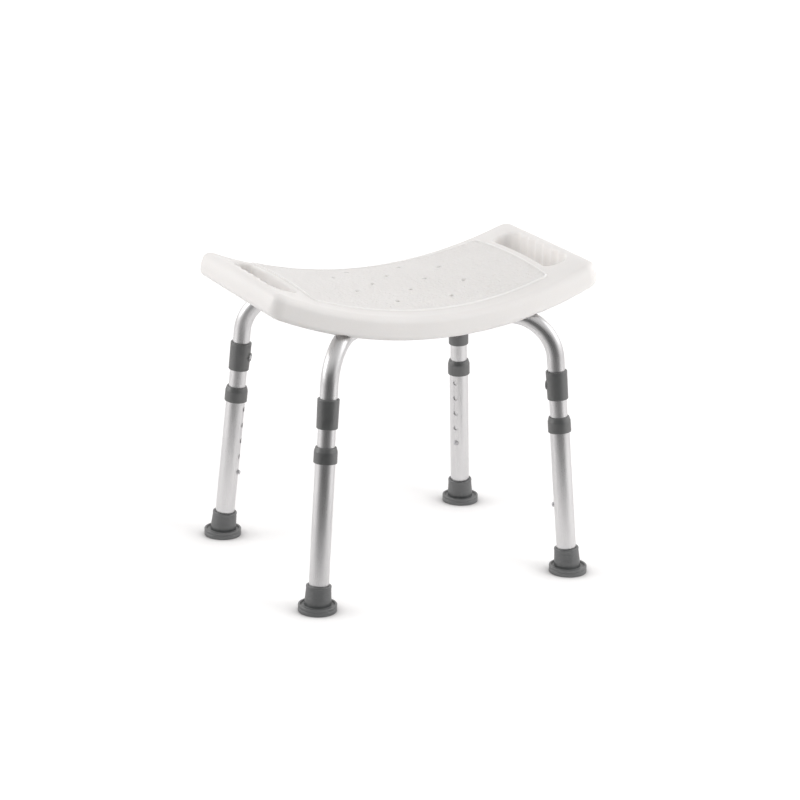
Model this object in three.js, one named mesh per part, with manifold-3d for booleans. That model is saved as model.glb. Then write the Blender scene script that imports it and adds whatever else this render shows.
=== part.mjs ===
// Shower stool: a hollow blow-moulded seat on two crossed, bent aluminium tubes, with four
// plug-in legs that adjust in height with snap buttons and stand on rubber feet.
// Millimetres, +Z up, +X along the seat, origin on the floor under the seat's centre.
import * as THREE from 'three';
import { mergeVertices } from 'three/addons/utils/BufferGeometryUtils.js';
import Module from 'manifold-3d';

const wasm = await Module();
wasm.setup();

// ---------------------------------------------------------------- driving dimensions
const FOOT_RADIUS = 265.8; // from the centre to each foot, along the frame tube's plane
const FRAME_ANGLE = THREE.MathUtils.degToRad(40.5); // of each frame tube's plane to +X
const LEAN = THREE.MathUtils.degToRad(5.25); // of each leg, inward as it rises

const FRAME_HEIGHT = 383; // centre line of the level part of the frame tubes
const BEND_RADIUS = 66.5;
const FRAME_TUBE = { outer: 12.7, inner: 11.3 };
const CRUSH = { height: 12.2, flat: 22, end: 50, shift: 6.4 }; // where the two tubes cross

// heights along a leg's own axis, from the floor
const HOLE_LOWEST = 103.2;
const HOLE_PITCH = 25;
const HOLE_COUNT = 5;
const HOLE_RADIUS = 3.9;
const OUTER_TUBE = { outer: 14.3, inner: 13.05, bottom: 7.3, top: 236.3 };
const INNER_TUBE = { outer: 12.7, inner: 11.3, bottom: 84, shoulder: 268.4 };
const SPIGOT = { outer: 10.95, inner: 9.6, bottom: 271.7, top: 318 };
const FRAME_TUBE_END = 272.1;
const COLLAR = { bottom: 215, top: 238.3, bottomRadius: 16.9, topRadius: 14.6 };
const SLEEVE = { bottom: 264.2, top: 306.8, bottomRadius: 15.15, topRadius: 15.7, bore: 13.1 };
const SLEEVE_BUTTON_HEIGHT = 285.2;
const FOOT = { height: 37.9, topRadius: 17.7, waistRadius: 19.2, baseRadius: 27.75, base: 11 };

const BUTTON_RADIUS = 3.5;
const SPRING = { thickness: 0.8, width: 9, length: 29 };

const SEAT = {
  halfLength: 250,
  halfDepth: 149,
  taper: 0.08, // share of the depth lost towards each end
  edgeHeight: 405, // of the top's edge at mid length
  endRise: 53,
  risePower: 2.07,
  crown: 11.2, // of the middle over the edge, fading out at the ends
  endLean: 0.28, // outward lean of the end walls per mm below the top's edge
  side: 35,
  shoulder: 10,
  underRound: 6,
  corner: 17,
  wall: 3,
};
const CHANNEL = { width: 13.6, roof: 396.1, reach: 200, wideWidth: 17.2, wideReach: 48 };
const DRAIN = { radius: 3.5, pitch: 43, outerRow: 86, innerRow: 40, wall: 2.6 };
const SLOT = { inner: 197, outer: 232.5, halfWidth: 88, corner: 15, fingers: 7, fingerDepth: 3.6 };
const SCREW_OFFSET = 110; // of the seat screws from the centre, along each frame tube
const BOSS_RADIUS = 8;
const BLOW_HOLE = { y: -60, radius: 4 };

const TUBE_SIDES = 16;
const SMALL_SIDES = 8;

// ---------------------------------------------------------------- materials
const paint = (color, roughness, metalness) => () =>
  new THREE.MeshStandardMaterial({ color, roughness, metalness });
const whitePlastic = paint(0xefede8, 0.35, 0);
const greyPlastic = paint(0x6c7072, 0.4, 0);
const greyRubber = paint(0x66696b, 0.75, 0);
const aluminium = paint(0xc9cbcc, 0.35, 1);
const steel = paint(0xb4b6b8, 0.3, 1);
const brass = paint(0xb59a55, 0.35, 1);

// ---------------------------------------------------------------- geometry helpers
// One closed surface: shared vertices merged, triangles without area dropped.
function closed(geometry) {
  const bare = geometry.clone();
  bare.deleteAttribute('normal');
  bare.deleteAttribute('uv');
  const merged = mergeVertices(bare, 1e-4);
  const kept = [];
  const index = merged.index.array;
  for (let i = 0; i < index.length; i += 3) {
    const [a, b, c] = [index[i], index[i + 1], index[i + 2]];
    if (a !== b && b !== c && c !== a) kept.push(a, b, c);
  }
  merged.setIndex(kept);
  return merged;
}

function solid(geometry) {
  const shape = closed(geometry);
  const vertProperties = Float32Array.from(shape.attributes.position.array);
  const triVerts = Uint32Array.from(shape.index.array);
  return new wasm.Manifold(new wasm.Mesh({ numProp: 3, vertProperties, triVerts }));
}

function surface(manifold) {
  const mesh = manifold.getMesh();
  const geometry = new THREE.BufferGeometry();
  geometry.setAttribute('position', new THREE.BufferAttribute(mesh.vertProperties, 3));
  geometry.setIndex(new THREE.BufferAttribute(mesh.triVerts, 1));
  return geometry;
}

const cut = (geometry, ...tools) =>
  surface(tools.reduce((left, tool) => left.subtract(solid(tool)), solid(geometry)));

// A turned piece on the Z axis, from [radius, height] points that run round the section.
function turned(points, sides = TUBE_SIDES) {
  const onAxis = points[0][0] === 0;
  const loop = onAxis ? points : [...points, points[0]];
  let area = 0;
  loop.forEach(([r, z], i) => {
    const [nextR, nextZ] = loop[(i + 1) % loop.length];
    area += r * nextZ - nextR * z;
  });
  const profile = loop.map(([r, z]) => new THREE.Vector2(r, z));
  if (area < 0) profile.reverse();
  return closed(new THREE.LatheGeometry(profile, sides).rotateX(Math.PI / 2));
}

const disc = (radius, bottom, top, sides = TUBE_SIDES) =>
  turned([[0, bottom], [radius, bottom], [radius, top], [0, top]], sides);

const pipe = (outer, inner, bottom, top, sides = TUBE_SIDES) =>
  turned([[inner, bottom], [outer, bottom], [outer, top], [inner, top]], sides);

const hexagon = (acrossFlats, bottom, top) =>
  disc(acrossFlats / Math.sqrt(3), bottom, top, 6);

// A drill along local +X at a height, from one distance to another.
const crossDrill = (radius, height, from, to) =>
  disc(radius, from, to, SMALL_SIDES).rotateY(Math.PI / 2).translate(0, 0, height);

// A closed skin through rings of equal length that face +X and follow each other along it;
// the first and last are capped.
function loft(rings) {
  const size = rings[0].length;
  const positions = rings.flat().flatMap((p) => p.toArray());
  const index = [];
  for (let i = 0; i + 1 < rings.length; i += 1) {
    for (let j = 0; j < size; j += 1) {
      const a = i * size + j;
      const b = i * size + ((j + 1) % size);
      index.push(a, b, b + size, a, b + size, a + size);
    }
  }
  const cap = THREE.ShapeUtils.triangulateShape(
    rings[0].map((p) => new THREE.Vector2(p.y, p.z)),
    [],
  );
  const last = (rings.length - 1) * size;
  cap.forEach(([a, b, c]) => index.push(a, c, b, last + a, last + b, last + c));
  const geometry = new THREE.BufferGeometry();
  geometry.setAttribute('position', new THREE.Float32BufferAttribute(positions, 3));
  geometry.setIndex(index);
  return geometry;
}

// A tube wall through pairs of outer and inner rings of equal length.
function hollowLoft(outer, inner) {
  const size = outer[0].length;
  const count = outer.length;
  const positions = [...outer, ...inner].flat().flatMap((p) => p.toArray());
  const index = [];
  const quad = (a, b, c, d) => index.push(a, c, b, a, d, c);
  for (let j = 0; j < size; j += 1) {
    const k = (j + 1) % size;
    for (let i = 0; i + 1 < count; i += 1) {
      const near = i * size;
      const far = (i + 1) * size;
      const skip = count * size;
      quad(near + j, near + k, far + k, far + j);
      quad(skip + near + k, skip + near + j, skip + far + j, skip + far + k);
    }
    const inside = count * size;
    const last = (count - 1) * size;
    quad(k, j, inside + j, inside + k);
    quad(last + j, last + k, inside + last + k, inside + last + j);
  }
  const geometry = new THREE.BufferGeometry();
  geometry.setAttribute('position', new THREE.Float32BufferAttribute(positions, 3));
  geometry.setIndex(index);
  return geometry;
}

const steps = (from, to, count) =>
  Array.from({ length: count + 1 }, (_, i) => from + ((to - from) * i) / count);

const smooth = (t) => THREE.MathUtils.smoothstep(t, 0, 1);

// ---------------------------------------------------------------- scene graph
const stool = new THREE.Group();
stool.name = 'shower_stool';

function place(parent, name, geometry, material) {
  const mesh = new THREE.Mesh(closed(geometry), material());
  mesh.name = name;
  parent.add(mesh);
}

// ---------------------------------------------------------------- seat
const share = (x) => Math.abs(x) / SEAT.halfLength;
const seatEdge = (x) => SEAT.edgeHeight + SEAT.endRise * share(x) ** SEAT.risePower;
const seatHalfDepth = (x) => SEAT.halfDepth * (1 - SEAT.taper * share(x) ** 2);

// The section of the seat at x, drawn `inset` inside its outer skin.
function seatRing(x, inset, fine) {
  const round = SEAT.shoulder - inset;
  const under = SEAT.underRound - inset;
  const end = SEAT.halfLength - inset;
  const past = Math.max(0, Math.abs(x) - (end - round)) / round;
  const drop = round * (1 - Math.sqrt(1 - Math.min(past, 1) ** 2));
  const corner = SEAT.corner - inset;
  const intoCorner = Math.max(0, Math.abs(x) - (end - corner)) / corner;
  const narrow = corner * (1 - Math.sqrt(1 - Math.min(intoCorner, 1) ** 2));
  const half = seatHalfDepth(x) - inset - narrow;
  const crown = SEAT.crown * (1 - Math.min(share(x), 1) ** 4);
  const top = seatEdge(x) - inset - drop;
  const bottom = seatEdge(x) - SEAT.side + inset + (drop * under) / round;
  const side = [];
  steps(0, half - under, 2).forEach((y) => side.push([y, bottom]));
  const turns = fine ? 3 : 1;
  steps(0, Math.PI / 2, turns).slice(1).forEach((a) =>
    side.push([half - under * (1 - Math.sin(a)), bottom + under * (1 - Math.cos(a))]));
  steps(Math.PI / 2, 0, turns).forEach((a) =>
    side.push([half - round * (1 - Math.sin(a)), top - round * (1 - Math.cos(a))]));
  steps(half - round, 0, fine ? 4 : 3).slice(1).forEach((y) =>
    side.push([y, top + crown * (1 - (y / (half - round)) ** 2)]));
  const mirror = side.slice(1, -1).reverse().map(([y, z]) => [-y, z]);
  const lean = Math.sign(x) * SEAT.endLean * share(x);
  return [...side, ...mirror]
    .map(([y, z]) => new THREE.Vector3(x + lean * (seatEdge(x) - z), y, z));
}

function seatBody(inset, fine) {
  const end = SEAT.halfLength - inset;
  const round = SEAT.shoulder - inset;
  const corner = SEAT.corner - inset;
  const rounded = steps(0, Math.PI / 2, fine ? 3 : 2).slice(1)
    .map((a) => end - round + round * Math.sin(a));
  const half = [...steps(0, end - corner, fine ? 7 : 5), end - round, ...rounded];
  const stations = [...half.slice(1).reverse().map((x) => -x), ...half];
  return loft(stations.map((x) => seatRing(x, inset, fine)));
}

// The groove under the seat that takes one frame tube, `extra` wider all round.
function channel(angle, extra) {
  const radius = CHANNEL.width + extra;
  const centre = CHANNEL.roof - CHANNEL.width;
  const low = centre - 60;
  const arch = steps(0, Math.PI, 8).map((a) => [radius * Math.cos(a), radius * Math.sin(a)]);
  const section = [...arch, [-radius, low - centre], [radius, low - centre]];
  const bar = (x) => section.map(([y, z]) => new THREE.Vector3(x, y, centre + z));
  const dome = steps(0, Math.PI / 2, 4)
    .map((a) => [radius * Math.cos(a), centre + radius * Math.sin(a)]);
  const end = turned([[0, low], [radius, low], ...dome.slice(0, -1), [0, centre + radius]], 12);
  const long = solid(loft([bar(-CHANNEL.reach), bar(CHANNEL.reach)]));
  const ends = [1, -1].map((side) => end.clone().translate(side * CHANNEL.reach, 0, 0));
  const wide = 2 * (CHANNEL.wideWidth + extra);
  const tall = centre + radius - low;
  const middle = new THREE.BoxGeometry(2 * (CHANNEL.wideReach + extra), wide, tall)
    .translate(0, 0, low + tall / 2);
  const whole = [middle, ...ends].reduce((all, one) => all.add(solid(one)), long);
  return surface(whole).rotateZ(angle);
}

function drainHoles() {
  const holes = [];
  [-2, -1, 0, 1, 2].forEach((column) => {
    const rows = column % 2 === 0 ? [-DRAIN.innerRow, DRAIN.innerRow]
      : [-DRAIN.outerRow, 0, DRAIN.outerRow];
    rows.forEach((y) => holes.push([column * DRAIN.pitch, y]));
  });
  return holes;
}

function upright(radius, [x, y], bottom, top, sides = SMALL_SIDES) {
  return disc(radius, bottom, top, sides).translate(x, y, 0);
}

function screwPlaces() {
  return [1, -1].flatMap((side) => [1, -1].map((end) => [
    end * SCREW_OFFSET * Math.cos(FRAME_ANGLE),
    end * side * SCREW_OFFSET * Math.sin(FRAME_ANGLE),
  ]));
}

// The hand slot: a rounded opening whose outer edge is scooped for the fingers.
function handSlot(side) {
  const { inner, outer, halfWidth, corner, fingers, fingerDepth } = SLOT;
  const pitch = (2 * (halfWidth - corner / 2)) / fingers;
  const outline = new THREE.Shape();
  outline.moveTo(inner, corner - halfWidth);
  outline.absarc(inner + corner, corner - halfWidth, corner, Math.PI, 1.5 * Math.PI);
  outline.lineTo(outer - corner / 2, -halfWidth);
  outline.lineTo(outer, corner / 2 - halfWidth);
  for (let i = 0; i < fingers; i += 1) {
    const y = corner / 2 - halfWidth + pitch * i;
    outline.quadraticCurveTo(outer + 2 * fingerDepth, y + pitch / 2, outer, y + pitch);
  }
  outline.lineTo(outer - corner / 2, halfWidth);
  outline.lineTo(inner + corner, halfWidth);
  outline.absarc(inner + corner, halfWidth - corner, corner, Math.PI / 2, Math.PI);
  const block = new THREE.ExtrudeGeometry(outline, {
    depth: 140, bevelEnabled: false, curveSegments: 3,
  }).translate(0, 0, 360);
  return side > 0 ? block : block.rotateZ(Math.PI);
}

function slotWall(side) {
  const { inner, outer, halfWidth, fingerDepth } = SLOT;
  const width = outer + fingerDepth - inner + 2 * SEAT.wall;
  const middle = inner - SEAT.wall + width / 2;
  return new THREE.BoxGeometry(width, 2 * (halfWidth + SEAT.wall), 200)
    .translate(side * middle, 0, 430);
}

function seatShell() {
  const high = 500;
  const cavity = cut(
    seatBody(SEAT.wall, false),
    channel(FRAME_ANGLE, SEAT.wall),
    channel(-FRAME_ANGLE, SEAT.wall),
    slotWall(1),
    slotWall(-1),
    disc(12, 300, 407),
    ...drainHoles().map((at) => upright(DRAIN.radius + DRAIN.wall, at, 300, high, 6)),
    ...screwPlaces().map((at) => upright(BOSS_RADIUS, at, 300, high)),
  );
  return cut(
    seatBody(0, true),
    cavity,
    channel(FRAME_ANGLE, 0),
    channel(-FRAME_ANGLE, 0),
    handSlot(1),
    handSlot(-1),
    disc(9, 340, 403.5),
    ...drainHoles().map((at) => upright(DRAIN.radius, at, 300, high)),
    ...screwPlaces().map((at) => upright(4.6, at, 380, 407.6)),
    upright(BLOW_HOLE.radius, [0, BLOW_HOLE.y], 350, 385),
  );
}

place(stool, 'seat', seatShell(), whitePlastic);

// ---------------------------------------------------------------- frame tubes
// A point and direction on a frame tube's centre line, in its own upright plane.
function framePath() {
  const inward = new THREE.Vector2(-Math.sin(LEAN), Math.cos(LEAN));
  const level = FRAME_HEIGHT - BEND_RADIUS * (1 - Math.sin(LEAN));
  const bendStart = level / Math.cos(LEAN);
  const foot = new THREE.Vector2(FOOT_RADIUS, 0);
  const onLeg = (height) => foot.clone().addScaledVector(inward, height);
  const side = new THREE.Vector2(-Math.cos(LEAN), -Math.sin(LEAN));
  const hub = onLeg(bendStart).addScaledVector(side, BEND_RADIUS);
  const half = [{ at: onLeg(FRAME_TUBE_END), along: inward, crush: 0 }];
  steps(LEAN, Math.PI / 2, 5).forEach((a) => half.push({
    at: hub.clone().add(new THREE.Vector2(Math.cos(a), Math.sin(a)).multiplyScalar(BEND_RADIUS)),
    along: new THREE.Vector2(-Math.sin(a), Math.cos(a)),
    crush: 0,
  }));
  steps(CRUSH.end, CRUSH.flat, 3).forEach((x) => half.push({
    at: new THREE.Vector2(x, FRAME_HEIGHT),
    along: new THREE.Vector2(-1, 0),
    crush: smooth((CRUSH.end - x) / (CRUSH.end - CRUSH.flat)),
  }));
  const other = half.slice().reverse().map(({ at, along, crush }) => ({
    at: new THREE.Vector2(-at.x, at.y),
    along: new THREE.Vector2(along.x, -along.y),
    crush,
  }));
  return [...half, ...other];
}

// One ring of the tube wall: a circle that flattens to half its height where it is crushed.
function frameRing({ at, along, crush }, radius, up) {
  const wall = FRAME_TUBE.outer - radius;
  const height = THREE.MathUtils.lerp(radius, CRUSH.height / 2 - wall, crush);
  const spread = ((Math.PI * (FRAME_TUBE.outer - CRUSH.height / 2)) / 2) * crush;
  const outward = new THREE.Vector3(-along.y, 0, along.x).negate();
  return Array.from({ length: TUBE_SIDES }, (_, i) => {
    const angle = (2 * Math.PI * (i + 0.5)) / TUBE_SIDES;
    const across = height * Math.cos(angle) + spread * Math.sign(Math.cos(angle));
    const raised = height * Math.sin(angle) + up * CRUSH.shift * crush;
    return new THREE.Vector3(at.x, across, at.y).addScaledVector(outward, raised);
  });
}

const legTurn = (end) => new THREE.Matrix4().makeRotationY(LEAN)
  .premultiply(new THREE.Matrix4().makeRotationZ(end > 0 ? Math.PI : 0))
  .setPosition(end * FOOT_RADIUS, 0, 0);

function frameTube(up) {
  const path = framePath();
  const wall = hollowLoft(
    path.map((station) => frameRing(station, FRAME_TUBE.outer, up)),
    path.map((station) => frameRing(station, FRAME_TUBE.inner, up)),
  );
  const buttonHoles = [1, -1].map((end) =>
    crossDrill(HOLE_RADIUS, SLEEVE_BUTTON_HEIGHT, 6, 20).applyMatrix4(legTurn(end)));
  const screwHoles = [1, -1].map((end) =>
    upright(2.9, [end * SCREW_OFFSET, 0], FRAME_HEIGHT - 20, FRAME_HEIGHT + 20));
  const boltHole = disc(3.4, FRAME_HEIGHT - 20, FRAME_HEIGHT + 20, SMALL_SIDES);
  return cut(wall, ...buttonHoles, ...screwHoles, boltHole);
}

place(stool, 'frame_tube_upper', frameTube(1).rotateZ(FRAME_ANGLE), aluminium);
place(stool, 'frame_tube_lower', frameTube(-1).rotateZ(-FRAME_ANGLE), aluminium);

// ---------------------------------------------------------------- fasteners
const CROSSING_TOP = FRAME_HEIGHT + CRUSH.shift + CRUSH.height / 2;
const CROSSING_BOTTOM = FRAME_HEIGHT - CRUSH.shift - CRUSH.height / 2;

const crossingBolt = solid(disc(2.9, CROSSING_BOTTOM - 9.5, CROSSING_TOP + 0.4, SMALL_SIDES))
  .add(solid(hexagon(10, CROSSING_TOP + 0.3, CROSSING_TOP + 4.3)));
place(stool, 'crossing_bolt', surface(crossingBolt), steel);
place(stool, 'crossing_washer',
  pipe(7, 3.2, CROSSING_BOTTOM - 1.9, CROSSING_BOTTOM - 0.3, SMALL_SIDES), steel);
place(stool, 'crossing_nut', cut(
  hexagon(10, CROSSING_BOTTOM - 8.2, CROSSING_BOTTOM - 2.2),
  disc(3.2, CROSSING_BOTTOM - 20, CROSSING_BOTTOM + 10, SMALL_SIDES),
), steel);

const TUBE_BOTTOM = FRAME_HEIGHT - FRAME_TUBE.outer;

function saddle(angle) {
  const tube = disc(FRAME_TUBE.outer + 0.3, -20, 20).rotateY(Math.PI / 2)
    .translate(0, 0, FRAME_HEIGHT);
  const base = turned([[2.9, TUBE_BOTTOM - 4], [7, TUBE_BOTTOM - 4], [8, TUBE_BOTTOM - 3],
    [8, TUBE_BOTTOM + 2.8], [2.9, TUBE_BOTTOM + 2.8]], 12);
  return cut(base, tube).rotateZ(angle);
}

function seatScrew() {
  const head = TUBE_BOTTOM - 4.3;
  return turned([[0, head - 3], [2.6, head - 2.9], [4.2, head - 1.8], [4.8, head], [2.2, head],
    [2.2, CHANNEL.roof + 9], [0, CHANNEL.roof + 10.5]], SMALL_SIDES);
}

const screwNames = ['rear_right', 'front_left', 'front_right', 'rear_left'];
screwPlaces().forEach(([x, y], i) => {
  const spot = new THREE.Group();
  spot.position.set(x, y, 0);
  stool.add(spot);
  const angle = x * y > 0 ? FRAME_ANGLE : -FRAME_ANGLE;
  place(spot, `${screwNames[i]}_saddle`, saddle(angle), greyPlastic);
  place(spot, `${screwNames[i]}_seat_screw`, seatScrew(), steel);
  place(spot, `${screwNames[i]}_insert`,
    pipe(4.2, 2.6, CHANNEL.roof + 0.5, CHANNEL.roof + 11, SMALL_SIDES), brass);
});

// ---------------------------------------------------------------- legs
function sleeve() {
  const { bottom, top, bottomRadius, topRadius, bore } = SLEEVE;
  const body = solid(turned([
    [bore - 2, bottom], [bottomRadius - 0.8, bottom], [bottomRadius, bottom + 1],
    [topRadius, top - 2.5], [topRadius - 0.6, top - 0.7], [topRadius - 1.6, top], [bore - 2, top],
  ]));
  const boss = solid(turned([
    [0, 13], [6.8, 13], [6.4, topRadius + 0.3], [5.6, topRadius + 0.9], [0, topRadius + 0.9],
  ], SMALL_SIDES).rotateY(Math.PI / 2).translate(0, 0, SLEEVE_BUTTON_HEIGHT));
  return cut(
    surface(body.add(boss)),
    disc(bore, bottom - 5, top + 5),
    crossDrill(HOLE_RADIUS + 0.3, SLEEVE_BUTTON_HEIGHT, 5, 25),
  );
}

function innerTube() {
  const { outer, inner, bottom, shoulder } = INNER_TUBE;
  return cut(turned([
    [inner, bottom], [outer, bottom], [outer, shoulder], [SPIGOT.outer, SPIGOT.bottom],
    [SPIGOT.outer, SPIGOT.top - 1.2], [SPIGOT.outer - 0.7, SPIGOT.top],
    [SPIGOT.inner, SPIGOT.top], [SPIGOT.inner, SPIGOT.bottom], [inner, shoulder],
  ]),
  crossDrill(HOLE_RADIUS, HOLE_LOWEST, 6, 20),
  crossDrill(HOLE_RADIUS, SLEEVE_BUTTON_HEIGHT, 6, 20));
}

function outerTube() {
  const { outer, inner, bottom, top } = OUTER_TUBE;
  const holes = steps(0, HOLE_COUNT - 1, HOLE_COUNT - 1)
    .map((i) => crossDrill(HOLE_RADIUS, HOLE_LOWEST + i * HOLE_PITCH, 6, 20));
  return cut(pipe(outer, inner, bottom, top), ...holes);
}

// A snap button on local +X: a flange inside the tube and a domed pin through its wall.
function snapButton(flange, tip, height) {
  return turned([
    [0, flange - 1], [4.9, flange - 1], [4.9, flange], [BUTTON_RADIUS, flange],
    [BUTTON_RADIUS, tip - 1.6], [BUTTON_RADIUS * 0.8, tip - 0.5], [0, tip],
  ], SMALL_SIDES).rotateY(Math.PI / 2).translate(0, 0, height);
}

// A V spring of flat strip: a pad under the button, a bend above it and an arm on the far wall.
function vSpring(pad, farWall, height) {
  const { thickness, width, length } = SPRING;
  const centre = [[pad, -6], [pad, 5], [1.5, length - 3], [0, length], [-1.5, length - 3],
    [-farWall, 4], [-farWall, -6]];
  const line = centre.map(([x, z]) => new THREE.Vector2(x, height + z));
  const offset = (side) => line.map((p, i) => {
    const before = line[Math.max(i - 1, 0)];
    const after = line[Math.min(i + 1, line.length - 1)];
    const normal = after.clone().sub(before).normalize();
    return new THREE.Vector2(-normal.y, normal.x).multiplyScalar((side * thickness) / 2).add(p);
  });
  const outline = [...offset(1), ...offset(-1).reverse()];
  const strip = new THREE.ExtrudeGeometry(new THREE.Shape(outline), {
    depth: width, bevelEnabled: false,
  });
  return strip.translate(0, 0, -width / 2).rotateX(Math.PI / 2);
}

function collar() {
  const { bottom, top, bottomRadius, topRadius } = COLLAR;
  const bore = OUTER_TUBE.outer + 0.35;
  const lip = OUTER_TUBE.top + 0.3;
  return turned([
    [bore, bottom], [bottomRadius - 0.7, bottom], [bottomRadius, bottom + 0.8],
    [topRadius + 0.8, top - 3], [topRadius - 0.4, top], [INNER_TUBE.outer + 0.35, top],
    [INNER_TUBE.outer + 0.35, lip], [bore, lip],
  ]);
}

// The foot: a cup that follows the leaning tube, on a base that is flat on the floor.
function foot() {
  const { height, topRadius, waistRadius, baseRadius, base } = FOOT;
  const bore = OUTER_TUBE.outer + 0.35;
  const tilt = (geometry) => solid(geometry.rotateY(LEAN));
  const cup = tilt(turned([
    [0, 4], [waistRadius, 4], [waistRadius, 14], [topRadius, height - 1], [topRadius - 1, height],
    [0, height],
  ]));
  const flange = solid(turned([
    [0, 0], [baseRadius - 1.2, 0], [baseRadius, 1.4], [baseRadius, base - 1.5],
    [baseRadius - 1.5, base], [baseRadius - 4, base - 1.8], [0, base - 1.8],
  ]));
  return surface(cup.add(flange).subtract(tilt(disc(bore, OUTER_TUBE.bottom - 2.2, height + 5))));
}

const LEGS = [
  { name: 'front_left', x: -1, y: -1 },
  { name: 'front_right', x: 1, y: -1 },
  { name: 'rear_right', x: 1, y: 1 },
  { name: 'rear_left', x: -1, y: 1 },
];

LEGS.forEach(({ name, x, y }) => {
  const stand = new THREE.Group(); // on the floor, with +X turned towards the seat's centre
  stand.position.set(
    x * FOOT_RADIUS * Math.cos(FRAME_ANGLE),
    y * FOOT_RADIUS * Math.sin(FRAME_ANGLE),
    0,
  );
  stand.rotation.z = Math.atan2(-stand.position.y, -stand.position.x);
  stool.add(stand);
  const leg = new THREE.Group(); // leaning, with +Z up the tubes
  leg.rotation.y = LEAN;
  stand.add(leg);

  place(leg, `${name}_sleeve`, sleeve(), greyPlastic);
  place(leg, `${name}_inner_tube`, innerTube(), aluminium);
  place(leg, `${name}_outer_tube`, outerTube(), aluminium);
  place(leg, `${name}_collar`, collar(), greyPlastic);
  place(leg, `${name}_leg_button`, snapButton(7.9, 17.5, SLEEVE_BUTTON_HEIGHT), steel);
  place(leg, `${name}_leg_spring`, vSpring(6.2, 7.6, SLEEVE_BUTTON_HEIGHT), steel);
  place(leg, `${name}_height_button`, snapButton(9.7, 17.9, HOLE_LOWEST), steel);
  place(leg, `${name}_height_spring`, vSpring(8.0, 9.4, HOLE_LOWEST), steel);
  place(leg, `${name}_foot_washer`,
    pipe(13.2, 4, OUTER_TUBE.bottom - 1.9, OUTER_TUBE.bottom - 0.4, SMALL_SIDES), steel);
  place(stand, `${name}_foot`, foot(), greyRubber);
});

export default stool;
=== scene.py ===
"""Shower stool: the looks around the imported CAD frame.

Lengths are in millimetres until a mesh is made.
"""

import math

import bmesh
import bpy
import numpy as np
from mathutils import Matrix, Vector


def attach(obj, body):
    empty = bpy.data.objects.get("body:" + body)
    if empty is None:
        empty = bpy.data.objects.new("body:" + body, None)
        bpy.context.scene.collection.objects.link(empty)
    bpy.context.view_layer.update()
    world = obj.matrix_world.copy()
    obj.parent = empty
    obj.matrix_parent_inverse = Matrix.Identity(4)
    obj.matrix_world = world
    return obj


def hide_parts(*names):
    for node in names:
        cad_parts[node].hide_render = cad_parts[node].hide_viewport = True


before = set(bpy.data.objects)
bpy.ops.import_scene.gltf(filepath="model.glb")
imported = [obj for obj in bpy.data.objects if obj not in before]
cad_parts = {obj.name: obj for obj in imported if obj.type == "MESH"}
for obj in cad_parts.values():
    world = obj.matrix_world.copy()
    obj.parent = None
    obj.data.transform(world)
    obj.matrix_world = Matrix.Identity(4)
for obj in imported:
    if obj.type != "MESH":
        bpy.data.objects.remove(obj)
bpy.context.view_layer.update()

MM = 0.001
FAR = 99.0  # mm, beyond the reach of any rounding

# ------------------------------------------------------------------ dimensions shared with the CAD
FOOT_RADIUS = 265.8
FRAME_ANGLE = math.radians(40.5)
LEAN = math.radians(5.25)

FRAME_HEIGHT = 383.0
BEND_RADIUS = 66.5
TUBE_OUTER = 12.7
TUBE_INNER = 11.3
FRAME_TUBE_END = 272.1
CRUSH_HEIGHT = 12.2
CRUSH_FLAT = 22.0
CRUSH_END = 50.0
CRUSH_SHIFT = 6.4

HOLE_LOWEST = 103.2
HOLE_PITCH = 25.0
HOLE_COUNT = 5
HOLE_RADIUS = 3.9
SLEEVE_BUTTON = 285.2
BUTTON_RADIUS = 3.5

OUTER_TUBE = {"outer": 14.3, "inner": 13.05, "bottom": 7.3, "top": 236.3}
INNER_TUBE = {"bottom": 84.0, "shoulder": 268.4}
SPIGOT = {"outer": 10.95, "inner": 9.6, "bottom": 271.7, "top": 318.0}
COLLAR = {"bottom": 215.0, "top": 238.3, "wide": 16.9, "narrow": 14.6}
SLEEVE = {"bottom": 264.2, "top": 306.8, "low": 15.15, "high": 15.7, "bore": 13.1}
FOOT = {"height": 37.9, "mouth": 17.7, "waist": 19.2, "base": 27.75, "thick": 11.0}

HALF_LENGTH = 250.0
HALF_DEPTH = 149.0
TAPER = 0.08
EDGE_HEIGHT = 405.0
END_RISE = 53.0
RISE_POWER = 2.07
CROWN = 11.2
SIDE = 35.0
SHOULDER = 10.0
CORNER = 17.0
CHANNEL = {"width": 13.6, "roof": 396.1, "reach": 200.0, "wide": 17.2, "wide_reach": 48.0}
DRAIN = {"radius": 3.5, "pitch": 43.0, "outer_row": 86.0, "inner_row": 40.0}
SLOT = {"inner": 197.0, "outer": 232.5, "half": 88.0, "corner": 15.0, "fingers": 7, "depth": 3.6}
BLOW_HOLE = {"y": -60.0, "radius": 4.0, "roof": 385.0}
HEAD_ROOM = {"radius": 9.0, "roof": 403.5}  # over the crossing bolt's head
SCREW_OFFSET = 110.0
TUBE_BOTTOM = FRAME_HEIGHT - TUBE_OUTER
CROSSING_TOP = FRAME_HEIGHT + CRUSH_SHIFT + CRUSH_HEIGHT / 2
CROSSING_BOTTOM = FRAME_HEIGHT - CRUSH_SHIFT - CRUSH_HEIGHT / 2

LEGS = {"front_left": (-1, -1), "front_right": (1, -1), "rear_right": (1, 1), "rear_left": (-1, 1)}

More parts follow.
